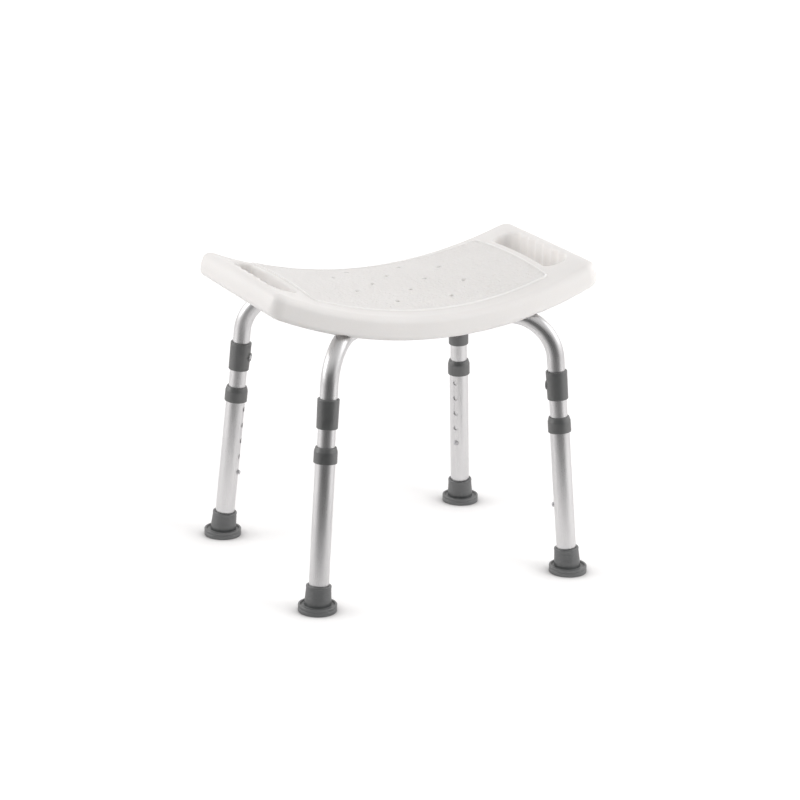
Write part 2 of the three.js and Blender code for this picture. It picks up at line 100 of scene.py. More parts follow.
# ------------------------------------------------------------------ dimensions of the looks alone
END_LEAN = 0.26  # the CAD's end walls lean a little more and don't bulge
END_BULGE = 3.0
UNDER_ROUND = 8.0
DRAIN_ROUND = 2.0
SLOT_ROUND = 3.5
FINGER_SOFT = 0.5  # how blunt the ridges between the finger recesses are
FINGER_MERGE = 13.0  # how softly the recesses run into the slot's ends
PANEL = {
    "half_length": 186.0,
    "half_depth": 125.0,
    "taper": 12.0,
    "corner": 8.0,
    "rise": 1.2,
    "wall": 0.8,
}
PANEL_BEAD = {"height": 1.0, "inset": 1.7, "width": 1.2}
PEBBLE_FADE = (-5.0, -2.5)  # distances from the panel's outline between which the texture fades out
BOLT = {"radius": 2.9, "thread": 0.22, "pitch": 0.9, "flats": 10.0, "corners": 5.55}
CROSS_RECESS = {"half_width": 0.55, "reach": 2.3, "depth": 1.0}
HOLE_DRILL = (6.0, 20.0)  # where a drill for a button hole starts and stops, from the tube's axis
BOLT_HOLE = 3.4
SCREW_HOLE = 2.9
FOOT_RIBS = {"depth": 0.22, "pitch": 2.6, "low": (19.0, 21.0), "high": (33.0, 34.5)}
FOOT_GROOVE = {"height": 6.2, "radius": 0.75}
TREAD_RINGS = (9.0, 15.0, 21.0)
SNUG = 0.35  # clearance of the collar and the foot round a tube


# ------------------------------------------------------------------ fields: below 0 inside, in mm
def both(a, b, radius=0.0):
    """Where a and b overlap, with the edge between them rounded."""
    if radius == 0:
        return np.maximum(a, b)
    corner = np.hypot(np.maximum(a + radius, 0), np.maximum(b + radius, 0))
    return corner + np.minimum(np.maximum(a, b), -radius)


def either(a, b, radius=0.0):
    """a and b together, with a fillet where they meet."""
    return -both(-a, -b, radius)


def without(a, b, radius=0.0):
    return both(a, -b, radius)


def ease(low, high, value):
    t = np.clip((value - low) / (high - low), 0, 1)
    return t * t * (3 - 2 * t)


def rounded_box(x, y, half_x, half_y, corner):
    qx = np.abs(x) - half_x + corner
    qy = np.abs(y) - half_y + corner
    outside = np.hypot(np.maximum(qx, 0), np.maximum(qy, 0))
    return outside + np.minimum(np.maximum(qx, qy), 0) - corner


def slope(field, points, reach=0.02):
    parts = []
    for axis in range(3):
        shift = np.zeros(3)
        shift[axis] = reach
        ahead = field(*(points + shift).T)
        behind = field(*(points - shift).T)
        parts.append((ahead - behind) / (2 * reach))
    return np.stack(parts, axis=1)


def settle(field, points, rounds=4, stride=0.6):
    """Moves points onto the surface along its slope."""
    for _ in range(rounds):
        up = slope(field, points)
        steep = np.maximum((up * up).sum(axis=1), 0.05)
        move = np.clip(-field(*points.T) / np.sqrt(steep), -stride, stride)
        points = points + (move / np.sqrt(steep))[:, None] * up
    return points


def spans(*parts):
    """Grid lines from (start, stop, spacing) parts that follow each other."""
    lines = []
    for start, stop, spacing in parts:
        count = max(1, round((stop - start) / spacing))
        lines.extend(np.linspace(start, stop, count, endpoint=False))
    lines.append(parts[-1][1])
    return np.array(lines)


def mirrored(*parts):
    half = spans(*parts)
    return np.concatenate([-half[:0:-1], half])


def net(field, lines, warp=None):
    """Points and four-sided faces on a field's surface, one point for each grid cell that it crosses."""
    place = warp or (lambda u, v, w: (u, v, w))
    grid = np.meshgrid(*lines, indexing="ij")
    value = field(*place(*grid))
    inside = value < 0
    shape = [n - 1 for n in value.shape]
    count = np.zeros(shape, np.uint8)
    for i in (0, 1):
        for j in (0, 1):
            for k in (0, 1):
                count += inside[i : i + shape[0], j : j + shape[1], k : k + shape[2]]
    cells = np.argwhere((count > 0) & (count < 8))
    number = np.full(shape, -1, np.int64)
    number[tuple(cells.T)] = np.arange(len(cells))

    total = np.zeros((len(cells), 3))
    hits = np.zeros(len(cells))
    for axis in range(3):
        others = [a for a in range(3) if a != axis]
        for i in (0, 1):
            for j in (0, 1):
                start = cells.copy()
                start[:, others[0]] += i
                start[:, others[1]] += j
                end = start.copy()
                end[:, axis] += 1
                here = value[tuple(start.T)]
                there = value[tuple(end.T)]
                crossed = (here < 0) != (there < 0)
                share = np.where(crossed, here / np.where(crossed, here - there, 1), 0)
                first = np.stack([lines[a][start[:, a]] for a in range(3)], axis=1)
                last = np.stack([lines[a][end[:, a]] for a in range(3)], axis=1)
                total += crossed[:, None] * (first + share[:, None] * (last - first))
                hits += crossed
    points = np.stack(place(*(total / hits[:, None]).T), axis=1)

    faces = []
    for axis in range(3):
        second = (axis + 1) % 3
        third = (axis + 2) % 3
        changes = np.argwhere(np.diff(inside.astype(np.int8), axis=axis) != 0)
        changes = changes[(changes[:, second] > 0) & (changes[:, third] > 0)]
        changes = changes[(changes[:, second] < shape[second]) & (changes[:, third] < shape[third])]
        leaving = inside[tuple(changes.T)]
        back_second = np.zeros(3, int)
        back_second[second] = 1
        back_third = np.zeros(3, int)
        back_third[third] = 1
        around = (np.zeros(3, int), back_second, back_second + back_third, back_third)
        quad = np.stack([number[tuple((changes - step).T)] for step in around], axis=1)
        quad[~leaving] = quad[~leaving][:, ::-1]
        faces.append(quad)
    return settle(field, points), np.concatenate(faces)


# ------------------------------------------------------------------ meshes
def mesh_from(name, points, faces):
    """A smooth mesh, in metres, from millimetre points and four-sided faces."""
    mesh = bpy.data.meshes.new(name)
    mesh.vertices.add(len(points))
    mesh.vertices.foreach_set("co", (points * MM).astype(np.float32).ravel())
    mesh.loops.add(faces.size)
    mesh.loops.foreach_set("vertex_index", faces.astype(np.int32).ravel())
    mesh.polygons.add(len(faces))
    mesh.polygons.foreach_set("loop_start", np.arange(0, faces.size, faces.shape[1], dtype=np.int32))
    mesh.update(calc_edges=True)
    mesh.validate()
    mesh.shade_smooth()
    return mesh


def points_of(mesh):
    flat = np.zeros(len(mesh.vertices) * 3, np.float32)
    mesh.vertices.foreach_get("co", flat)
    return flat.reshape(-1, 3).astype(float) / MM


def applied(mesh, *modifiers):
    """The mesh after modifiers, each given as (kind, settings)."""
    holder = bpy.data.objects.new("holder", mesh)
    bpy.context.scene.collection.objects.link(holder)
    for kind, settings in modifiers:
        modifier = holder.modifiers.new(kind.lower(), kind)
        for key, value in settings.items():
            setattr(modifier, key, value)
    graph = bpy.context.evaluated_depsgraph_get()
    result = bpy.data.meshes.new_from_object(holder.evaluated_get(graph))
    bpy.data.objects.remove(holder)
    return result


def skin(name, field, lines, warp=None, most=None):
    """A mesh on a field's surface with exact normals, thinned to at most `most` triangles."""
    points, faces = net(field, lines, warp)
    mesh = mesh_from(name, points, faces)
    if most and 2 * len(faces) > most:
        thinning = {"ratio": most / (2 * len(faces)), "use_collapse_triangulate": True}
        mesh = applied(mesh, ("DECIMATE", thinning))
        mesh.name = name
        points = settle(field, points_of(mesh), rounds=2, stride=0.2)
        mesh.vertices.foreach_set("co", (points * MM).astype(np.float32).ravel())
        mesh.shade_smooth()
    normals = slope(field, points)
    normals /= np.maximum(np.linalg.norm(normals, axis=1), 1e-9)[:, None]
    mesh.normals_split_custom_set_from_vertices(normals)
    return mesh


def soften(points, radius, steps=4):
    """A closed outline with its corners rounded."""
    result = []
    for i, corner in enumerate(points):
        here = Vector(corner)
        before = Vector(points[i - 1]) - here
        after = Vector(points[(i + 1) % len(points)]) - here
        if here.x == 0:
            result.append(tuple(here))
            continue
        back = here + before.normalized() * min(radius, before.length * 0.45)
        on = here + after.normalized() * min(radius, after.length * 0.45)
        for step in range(steps + 1):
            t = step / steps
            result.append(tuple(back * (1 - t) ** 2 + here * 2 * t * (1 - t) + on * t * t))
    return result


def turned(name, outline, sides=64, radius=0.5):
    """A turned mesh round Z from an outline of (radius, height) points.

    An outline that starts on the axis ends on it too; any other is closed on itself.
    """
    form = bmesh.new()
    rings = []
    for r, z in soften(outline, radius):
        if r < 1e-6:
            rings.append([form.verts.new((0, 0, z * MM))] * sides)
            continue
        ring = []
        for i in range(sides):
            angle = 2 * math.pi * i / sides
            ring.append(form.verts.new((r * MM * math.cos(angle), r * MM * math.sin(angle), z * MM)))
        rings.append(ring)
    pairs = list(zip(rings, rings[1:]))
    if outline[0][0] > 0:
        pairs.append((rings[-1], rings[0]))
    for low, high in pairs:
        for i in range(sides):
            j = (i + 1) % sides
            corners = []
            for vert in (low[i], low[j], high[j], high[i]):
                if vert not in corners:
                    corners.append(vert)
            if len(corners) > 2:
                form.faces.new(corners)
    bmesh.ops.recalc_face_normals(form, faces=form.faces)
    mesh = bpy.data.meshes.new(name)
    form.to_mesh(mesh)
    form.free()
    mesh.shade_smooth()
    return mesh


def tube_outline(outer, inner, bottom, top):
    return [(inner, bottom), (outer, bottom), (outer, top), (inner, top)]


def drilled(mesh, *drills):
    """The mesh with round holes, each from (matrix, radius, start, stop) along the matrix's Z."""
    form = bmesh.new()
    for matrix, radius, start, stop in drills:
        place = matrix @ Matrix.Translation((0, 0, (start + stop) / 2 * MM))
        bmesh.ops.create_cone(
            form,
            cap_ends=True,
            segments=40,
            radius1=radius * MM,
            radius2=radius * MM,
            depth=(stop - start) * MM,
            matrix=place,
        )
    cutter_mesh = bpy.data.meshes.new("cutter")
    form.to_mesh(cutter_mesh)
    form.free()
    cutter = bpy.data.objects.new("cutter", cutter_mesh)
    bpy.context.scene.collection.objects.link(cutter)
    name = mesh.name
    result = applied(mesh, ("BOOLEAN", {"operation": "DIFFERENCE", "solver": "EXACT", "object": cutter}))
    bpy.data.objects.remove(cutter)
    result.name = name
    result.shade_smooth()
    result.set_sharp_from_angle(angle=math.radians(35))
    return result


def across(height):
    """A drill's place along local +X at a height."""
    return Matrix.Translation((0, 0, height * MM)) @ Matrix.Rotation(math.pi / 2, 4, "Y")


def upright(x, y):
    return Matrix.Translation((x * MM, y * MM, 0))


# ------------------------------------------------------------------ materials
class Nodes:
    """Adds nodes to a material or a world, with values or links given by input name."""

    def __init__(self, owner, shader="Principled BSDF"):
        owner.use_nodes = True
        self.owner = owner
        self.tree = owner.node_tree
        self.shader = self.tree.nodes[shader]

    def fill(self, node, inputs):
        for key, value in inputs.items():
            socket = node.inputs[key]
            if isinstance(value, bpy.types.NodeSocket):
                self.tree.links.new(value, socket)
            else:
                socket.default_value = value

    def add(self, kind, inputs, **settings):
        node = self.tree.nodes.new("ShaderNode" + kind)
        for key, value in settings.items():
            setattr(node, key, value)
        self.fill(node, inputs)
        return node

    def where(self, stretch=(1, 1, 1), attribute=None):
        """Object coordinates in metres, or a mesh's own vector attribute, each axis scaled."""
        if attribute:
            source = self.add("Attribute", {}, attribute_name=attribute).outputs["Vector"]
        else:
            source = self.add("TexCoord", {}).outputs["Object"]
        return self.add("Mapping", {"Vector": source, "Scale": stretch}).outputs["Vector"]

    def noise(self, vector, scale, detail=3.0, rough=0.5):
        inputs = {"Vector": vector, "Scale": scale, "Detail": detail, "Roughness": rough}
        return self.add("TexNoise", inputs).outputs["Fac"]

    def spread(self, value, low, high, from_low=0.3, from_high=0.7):
        inputs = {
            "Value": value,
            "From Min": from_low,
            "From Max": from_high,
            "To Min": low,
            "To Max": high,
        }
        return self.add("MapRange", inputs).outputs["Result"]

    def math(self, operation, a, b):
        return self.add("Math", {0: a, 1: b}, operation=operation).outputs[0]

    def mix(self, factor, a, b):
        inputs = {0: factor}
        for socket, tone in ((6, a), (7, b)):
            inputs[socket] = (*tone, 1) if isinstance(tone, tuple) else tone
        return self.add("Mix", inputs, data_type="RGBA").outputs[2]

    def bump(self, height, distance, strength=1.0, normal=None):
        inputs = {"Height": height, "Distance": distance, "Strength": strength}
        if normal is not None:
            inputs["Normal"] = normal
        return self.add("Bump", inputs).outputs["Normal"]

    def done(self, **inputs):
        self.fill(self.shader, {key.replace("_", " "): value for key, value in inputs.items()})
        return self.owner


def white_plastic():
    n = Nodes(bpy.data.materials.new("white_polyethylene"))
    at = n.where()
    cloud = n.noise(at, 7, 4)
    grain = n.noise(at, 900, 2)
    tone = n.mix(n.spread(cloud, 0, 1), (0.86, 0.845, 0.83), (0.83, 0.815, 0.80))
    tone = n.mix(n.spread(grain, 0, 0.35), tone, (0.78, 0.765, 0.75))
    panel = n.add("Attribute", {}, attribute_name="panel").outputs["Fac"]
    rim = n.add("Attribute", {}, attribute_name="rim").outputs["Fac"]
    # painted shade: the pebbled panel gets a slightly darker tone, standing in for the small shadows in
    # its texture
    tone = n.mix(n.math("MULTIPLY", panel, 0.12), tone, (0.76, 0.745, 0.735))
    # painted highlight: the smooth bead round the panel gets a lighter tone, standing in for the light
    # its edge catches
    tone = n.mix(rim, tone, (0.93, 0.92, 0.91))
    cells = {"Vector": at, "Scale": 240.0, "Randomness": 0.75}
    pebbles = n.add("TexVoronoi", cells, feature="SMOOTH_F1").outputs["Distance"]
    scuffs = n.noise(n.where((30, 4, 10)), 30, 5, 0.65)
    dull = n.math("ADD", n.spread(cloud, 0.27, 0.36), n.spread(scuffs, 0.0, 0.09, 0.55, 0.75))
    dull = n.math("ADD", dull, n.math("MULTIPLY", panel, 0.12))
    height = n.math("MULTIPLY", pebbles, panel)
    normal = n.bump(grain, 0.00003)
    normal = n.bump(n.noise(at, 160, 2), 0.00012, 1.0, normal)
    normal = n.bump(height, 0.002, 1.0, normal)
    return n.done(
        Base_Color=tone,
        Roughness=dull,
        Normal=normal,
        IOR=1.5,
        Subsurface_Weight=0.35,
        Subsurface_Radius=(1, 0.95, 0.9),
        Subsurface_Scale=0.012,
    )


def grey_plastic():
    n = Nodes(bpy.data.materials.new("grey_nylon"))
    at = n.where()
    cloud = n.noise(at, 60, 4)
    grain = n.noise(at, 2600, 2)
    tone = n.mix(n.spread(cloud, 0, 1), (0.05, 0.053, 0.053), (0.066, 0.069, 0.068))
    scuffs = n.noise(n.where((60, 60, 8)), 20, 5, 0.7)
    tone = n.mix(n.spread(scuffs, 0, 0.35, 0.6, 0.8), tone, (0.12, 0.125, 0.123))
    dull = n.math("ADD", n.spread(cloud, 0.28, 0.38), n.spread(scuffs, 0.0, 0.14, 0.5, 0.75))
    normal = n.bump(grain, 0.00003)
    normal = n.bump(n.noise(at, 450, 2), 0.00006, 1.0, normal)
    return n.done(Base_Color=tone, Roughness=dull, Normal=normal, IOR=2.1)


def grey_rubber():
    n = Nodes(bpy.data.materials.new("grey_rubber"))
    at = n.where()
    cloud = n.noise(at, 45, 5)
    grain = n.noise(at, 1800, 3)
    tone = n.mix(n.spread(cloud, 0, 1), (0.052, 0.056, 0.057), (0.07, 0.074, 0.075))
    tone = n.mix(n.spread(grain, 0, 0.3), tone, (0.1, 0.105, 0.105))
    dull = n.math("ADD", n.spread(cloud, 0.34, 0.44), n.spread(grain, -0.04, 0.05))
    normal = n.bump(grain, 0.00005)
    normal = n.bump(n.noise(at, 300, 3), 0.00012, 1.0, normal)
    return n.done(Base_Color=tone, Roughness=dull, Normal=normal, IOR=2.0)


def aluminium(name, attribute=None):
    """Satin drawn tube: fine lines along its length, cloudy anodising and a few faint scuffs."""
    n = Nodes(bpy.data.materials.new(name))
    at = n.where(attribute=attribute)
    lines = n.noise(n.where((1, 1, 0.012), attribute), 1900, 4, 0.6)
    cloud = n.noise(n.where((1, 1, 0.25), attribute), 60, 4)
    scuffs = n.noise(n.where((1, 1, 3), attribute), 130, 6, 0.75)
    tone = n.mix(n.spread(cloud, 0, 1), (0.80, 0.80, 0.80), (0.74, 0.74, 0.745))
    tone = n.mix(n.spread(lines, 0, 0.3), tone, (0.62, 0.62, 0.63))
    dull = n.math("ADD", n.spread(lines, 0.25, 0.36), n.spread(scuffs, 0.0, 0.1, 0.6, 0.8))
    normal = n.bump(lines, 0.00002)
    normal = n.bump(n.noise(at, 700, 3), 0.00001, 1.0, normal)
    return n.done(Base_Color=tone, Roughness=dull, Normal=normal, Metallic=1.0)


def plated(name, light, dark):
    n = Nodes(bpy.data.materials.new(name))
    at = n.where()
    cloud = n.noise(at, 220, 4)
    grain = n.noise(at, 2500, 2)
    tone = n.mix(n.spread(cloud, 0, 1), light, dark)
    dull = n.math("ADD", n.spread(cloud, 0.22, 0.36), n.spread(grain, -0.03, 0.05))
    normal = n.bump(grain, 0.00002)
    return n.done(Base_Color=tone, Roughness=dull, Normal=normal, Metallic=1.0)


WHITE = white_plastic()
GREY = grey_plastic()
RUBBER = grey_rubber()
LEG_METAL = aluminium("aluminium_leg")
FRAME_METAL = aluminium("aluminium_frame", "tube")
STEEL = plated("zinc_steel", (0.66, 0.66, 0.67), (0.52, 0.52, 0.54))
BRASS = plated("brass", (0.62, 0.5, 0.25), (0.5, 0.38, 0.18))


# ------------------------------------------------------------------ pieces
def piece(name, mesh, material, body, nodes, place=None, weighted=False):
    """A finished piece that rides on a body and stands for CAD nodes."""
    mesh.materials.clear()
    mesh.materials.append(material)
    obj = bpy.data.objects.new(name, mesh)
    bpy.context.scene.collection.objects.link(obj)
    if place is not None:
        obj.matrix_world = place
    if weighted:
        modifier = obj.modifiers.new("even_normals", "WEIGHTED_NORMAL")
        modifier.keep_sharp = True
    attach(obj, body)
    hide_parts(*nodes)
    return obj


def seat_rise(x):
    return EDGE_HEIGHT + END_RISE * np.minimum(np.abs(x) / HALF_LENGTH, 1.1) ** RISE_POWER


def panel_outline(x, y):
    half = PANEL["half_depth"] - PANEL["taper"] * (x / PANEL["half_length"]) ** 2
    return rounded_box(x, y, PANEL["half_length"], half, PANEL["corner"])


def panel_bead(border):
    """1 along the smooth rim around the textured panel, fading to 0 beside it."""
    return np.exp(-((border + PANEL_BEAD["inset"]) / PANEL_BEAD["width"]) ** 2)


def hand_slot(x, y):
    first = SLOT["corner"] / 2 - SLOT["half"]
    pitch = -2 * first / SLOT["fingers"]
    t = np.clip((y - first) / pitch, 0, SLOT["fingers"]) % 1
    arch = 4 * t * (1 - t)
    blunt = math.sqrt(1 + FINGER_SOFT**2) - FINGER_SOFT
    arch = (np.sqrt(arch**2 + FINGER_SOFT**2) - FINGER_SOFT) / blunt
    end = both(np.abs(y) - SLOT["half"], SLOT["inner"] - np.abs(x), SLOT["corner"])
    return both(end, np.abs(x) - SLOT["outer"] - SLOT["depth"] * arch, FINGER_MERGE)


def channel(x, y, z, angle):
    along = x * math.cos(angle) + y * math.sin(angle)
    aside = y * math.cos(angle) - x * math.sin(angle)
    over = np.maximum(np.abs(along) - CHANNEL["reach"], 0)
    up = np.maximum(z - CHANNEL["roof"] + CHANNEL["width"], 0)
    groove = np.sqrt(over**2 + aside**2 + up**2) - CHANNEL["width"]
    middle = rounded_box(along, aside, CHANNEL["wide_reach"], CHANNEL["wide"], 8.0)
    middle = both(middle, z - CHANNEL["roof"], 3.0)
    return either(groove, middle, 2.0)


def drain_holes():
    for column in range(-2, 3):
        rows = (-DRAIN["inner_row"], DRAIN["inner_row"])
        if column % 2:
            rows = (-DRAIN["outer_row"], 0, DRAIN["outer_row"])
        for y in rows:
            yield column * DRAIN["pitch"], y


def seat_field(x, y, z):
    station = np.abs(x)
    for _ in range(3):
        below = seat_rise(station) - z
        bulge = END_BULGE * np.maximum(1 - (2 * below / SIDE - 1) ** 2, 0)
        station = np.abs(x) - station / HALF_LENGTH * (END_LEAN * below + bulge)
    share = station / HALF_LENGTH
    height = z - seat_rise(station)
    half = HALF_DEPTH * (1 - TAPER * share**2)
    sideways = np.minimum(np.abs(y) / (half - SHOULDER), 1)
    crown = CROWN * np.maximum(1 - share**4, 0) * (1 - sideways**2)
    border = panel_outline(x, y)
    raised = PANEL["rise"] * (1 - ease(-PANEL["wall"], PANEL["wall"], border))
    raised = raised + PANEL_BEAD["height"] * panel_bead(border)
    plan = rounded_box(station, y, HALF_LENGTH, half, CORNER)
    body = both(plan, height - crown - raised, SHOULDER)
    body = both(body, -height - SIDE, UNDER_ROUND)
    body = without(body, channel(x, y, z, FRAME_ANGLE), 2.5)
    body = without(body, channel(x, y, z, -FRAME_ANGLE), 2.5)
    head_room = both(np.hypot(x, y) - HEAD_ROOM["radius"], z - HEAD_ROOM["roof"], 1.0)
    body = without(body, head_room, 1.0)
    body = without(body, hand_slot(x, y), SLOT_ROUND)
    holes = np.full(np.shape(plan), FAR)
    for hole_x, hole_y in drain_holes():
        holes = np.minimum(holes, np.hypot(x - hole_x, y - hole_y) - DRAIN["radius"])
    body = without(body, holes, DRAIN_ROUND)
    blow = both(np.hypot(x, y - BLOW_HOLE["y"]) - BLOW_HOLE["radius"], z - BLOW_HOLE["roof"], 0.5)
    return without(body, blow, 0.8)


def seat_warp(u, v, w):
    """Grid lines that follow the panel's front and rear edges and the seat's curve."""
    scale = 1 - PANEL["taper"] / PANEL["half_depth"] * np.minimum((u / PANEL["half_length"]) ** 2, 2)
    return u, v * scale, w + seat_rise(u)


# finer across the panel's border and near the top
seat_lines = [
    mirrored((0, 181, 1.3), (181, 190, 0.6), (190, 262, 1.25)),
    mirrored((0, 120, 1.3), (120, 128, 0.6), (128, 180, 1.3)),
    spans((-43, -8, 1.7), (-8, 17, 0.95)),
]
seat_mesh = skin("seat_shell", seat_field, seat_lines, seat_warp, most=190000)
seat_points = points_of(seat_mesh)
seat_border = panel_outline(seat_points[:, 0], seat_points[:, 1])
on_top = seat_points[:, 2] > seat_rise(seat_points[:, 0]) - 0.5
# the rim share carries the bead's painted highlight; the panel share also carries the pebbled panel's
# painted shade
shares = {"panel": 1 - ease(*PEBBLE_FADE, seat_border), "rim": panel_bead(seat_border)}
for share_name, share in shares.items():
    attribute = seat_mesh.attributes.new(share_name, "FLOAT", "POINT")
    attribute.data.foreach_set("value", (share * on_top).astype(np.float32))
piece("seat_shell", seat_mesh, WHITE, "seat_frame", ["seat"])


# ------------------------------------------------------------------ frame tubes
def frame_path():
    """Stations along one frame tube in its own upright plane: (x, z, along x, along z, crush)."""
    bend_start = (FRAME_HEIGHT - BEND_RADIUS * (1 - math.sin(LEAN))) / math.cos(LEAN)
    inward = Vector((-math.sin(LEAN), math.cos(LEAN)))
    side = Vector((-math.cos(LEAN), -math.sin(LEAN)))
    foot = Vector((FOOT_RADIUS, 0))
    hub = foot + inward * bend_start + side * BEND_RADIUS
    half = []
    for height in np.linspace(FRAME_TUBE_END, bend_start, 5)[:-1]:
        half.append((*(foot + inward * height), *inward, 0.0))
    for angle in np.linspace(LEAN, math.pi / 2, 30):
        turn = Vector((math.cos(angle), math.sin(angle)))
        half.append((*(hub + turn * BEND_RADIUS), -turn.y, turn.x, 0.0))
    for x in np.linspace(hub.x, CRUSH_END, 7)[1:-1]:
        half.append((x, FRAME_HEIGHT, -1.0, 0.0, 0.0))
    for x in np.linspace(CRUSH_END, CRUSH_FLAT, 12):
        crush = float(ease(0, 1, (CRUSH_END - x) / (CRUSH_END - CRUSH_FLAT)))
        half.append((x, FRAME_HEIGHT, -1.0, 0.0, crush))
    other = [(-x, z, dx, -dz, crush) for x, z, dx, dz, crush in reversed(half)]
    return half + other


def frame_tube(name, up):
    """One bent tube in its own upright plane, pressed flat where the two cross."""
    sides = 64
    rings = []
    path = frame_path()
    for radius in (TUBE_OUTER, TUBE_INNER):
        wall = TUBE_OUTER - radius
        for x, z, dx, dz, crush in path:
            height = radius + (CRUSH_HEIGHT / 2 - wall - radius) * crush
            spread = math.pi * (TUBE_OUTER - CRUSH_HEIGHT / 2) / 2 * crush
            outward = Vector((dz, -dx))
            ring = []
            for i in range(sides):
                angle = 2 * math.pi * (i + 0.5) / sides
                across_tube = height * math.cos(angle) + math.copysign(spread, math.cos(angle))
                raised = height * math.sin(angle) + up * CRUSH_SHIFT * crush
                ring.append((x + outward.x * raised, across_tube, z + outward.y * raised))
            rings.append(ring)
    points = np.array(rings).reshape(-1, 3)
    count = len(path)
    j = np.arange(sides)
    k = (j + 1) % sides
    inside = count * sides
    faces = []
    for i in range(count - 1):
        near = i * sides
        far = near + sides
        faces.append(np.stack([near + j, near + k, far + k, far + j], axis=1))
        near += inside
        far += inside
        faces.append(np.stack([near + k, near + j, far + j, far + k], axis=1))
    last = (count - 1) * sides
    faces.append(np.stack([k, j, inside + j, inside + k], axis=1))
    faces.append(np.stack([last + j, last + k, inside + last + k, inside + last + j], axis=1))
    mesh = mesh_from(name, points, np.concatenate(faces)[:, ::-1])
    through = (FRAME_HEIGHT - 20, FRAME_HEIGHT + 20)
    drills = [(upright(0, 0), BOLT_HOLE, *through)]
    for end in (1, -1):
        facing = Matrix.Rotation(math.pi if end > 0 else 0, 4, "Z")
        stand = upright(end * FOOT_RADIUS, 0) @ facing @ Matrix.Rotation(LEAN, 4, "Y")
        drills.append((stand @ across(SLEEVE_BUTTON), HOLE_RADIUS, *HOLE_DRILL))
        drills.append((upright(end * SCREW_OFFSET, 0), SCREW_HOLE, *through))
    mesh = drilled(mesh, *drills)
    lay_along(mesh, path)
    return mesh


def lay_along(mesh, path):
    """Stores each point's place round and along the tube, for lines that follow the bend."""
    points = points_of(mesh)
    centres = np.array([(x, 0, z) for x, z, *_ in path])
    ways = np.array([(dx, 0, dz) for _, _, dx, dz, _ in path])
    lengths = np.concatenate([[0], np.cumsum(np.linalg.norm(np.diff(centres, axis=0), axis=1))])
    gaps = ((points[:, None, :] - centres[None]) ** 2).sum(axis=2)
    nearest = gaps.argmin(axis=1)
    away = points - centres[nearest]
    way = ways[nearest]
    ahead = (away * way).sum(axis=1)
    outward = np.stack([way[:, 2], np.zeros(len(way)), -way[:, 0]], axis=1)
    raised = (away * outward).sum(axis=1)
    laid = np.stack([raised, points[:, 1], lengths[nearest] + ahead], axis=1) * MM
    attribute = mesh.attributes.new("tube", "FLOAT_VECTOR", "POINT")
    attribute.data.foreach_set("vector", laid.astype(np.float32).ravel())


for side, up in (("upper", 1), ("lower", -1)):
    tube = frame_tube(f"frame_tube_{side}_fine", up)
    turn = Matrix.Rotation(up * FRAME_ANGLE, 4, "Z")
    piece(tube.name, tube, FRAME_METAL, "seat_frame", [f"frame_tube_{side}"], turn)


# ------------------------------------------------------------------ fasteners
def hexagon(x, y, across_flats):
    half = across_flats / 2
    flats = [np.abs(x * math.cos(a) + y * math.sin(a)) - half for a in (0, math.pi / 3, -math.pi / 3)]
    return np.maximum(np.maximum(flats[0], flats[1]), flats[2])


def cube_lines(half, low, high, spacing):
    side_lines = mirrored((0, half, spacing))
    return [side_lines, side_lines, spans((low, high, spacing))]


def bolt_field(x, y, z):
    r = np.hypot(x, y)
    turns = (z - CROSSING_BOTTOM) / BOLT["pitch"] + np.arctan2(y, x) / (2 * math.pi)
    thread = BOLT["radius"] - BOLT["thread"] * np.abs(turns % 1 - 0.5) * 2
    thread = np.where(z < CROSSING_BOTTOM, thread, BOLT["radius"])
    shank = both(r - thread, CROSSING_BOTTOM - 9.5 - z, 0.5)
    shank = both(shank, z - CROSSING_TOP - 2)
    head = both(hexagon(x, y, BOLT["flats"]), r - BOLT["corners"], 0.3)
    head = both(head, both(z - CROSSING_TOP - 4.3, CROSSING_TOP + 0.3 - z), 0.4)
    return np.minimum(shank, head)


def nut_field(x, y, z):
    r = np.hypot(x, y)
    low = CROSSING_BOTTOM - 8.2
    body = both(hexagon(x, y, BOLT["flats"]), r - BOLT["corners"], 0.3)
    body = both(body, both(z - CROSSING_BOTTOM + 2.2, low - z), 0.4)
    return without(body, r - 3.2, 0.4)


def screw_field(x, y, z):
    """A pan-head screw seen from below, with a cross recess."""
    r = np.hypot(x, y)
    top = TUBE_BOTTOM - 4.3
    dome = np.sqrt(r**2 + (z - top - 2.9) ** 2 * 1.7) - 6.2
    head = both(both(r - 4.8, z - top, 0.2), dome, 0.5)
    shank = both(r - 2.2, z - CHANNEL["roof"] - 9.5, 0.6)
    shank = both(shank, top - 1 - z)
    along, aside = np.abs(x), np.abs(y)
    half, reach = CROSS_RECESS["half_width"], CROSS_RECESS["reach"]
    arms = np.minimum(both(along - half, aside - reach, 0.1), both(aside - half, along - reach, 0.1))
    recess = both(arms, z - top + CROSS_RECESS["depth"], 0.1)
    return without(np.minimum(head, shank), recess, 0.15)


def saddle_field(x, y, z):
    """A grey pad with a hollow top that the frame tube, lying along X, sits in."""
    r = np.hypot(x, y)
    body = both(r - 8, TUBE_BOTTOM - 4 - z, 1.2)
    body = both(body, z - TUBE_BOTTOM - 2.8, 0.4)
    body = without(body, np.hypot(y, z - FRAME_HEIGHT) - TUBE_OUTER - 0.3, 0.3)
    return without(body, r - 2.9, 0.3)


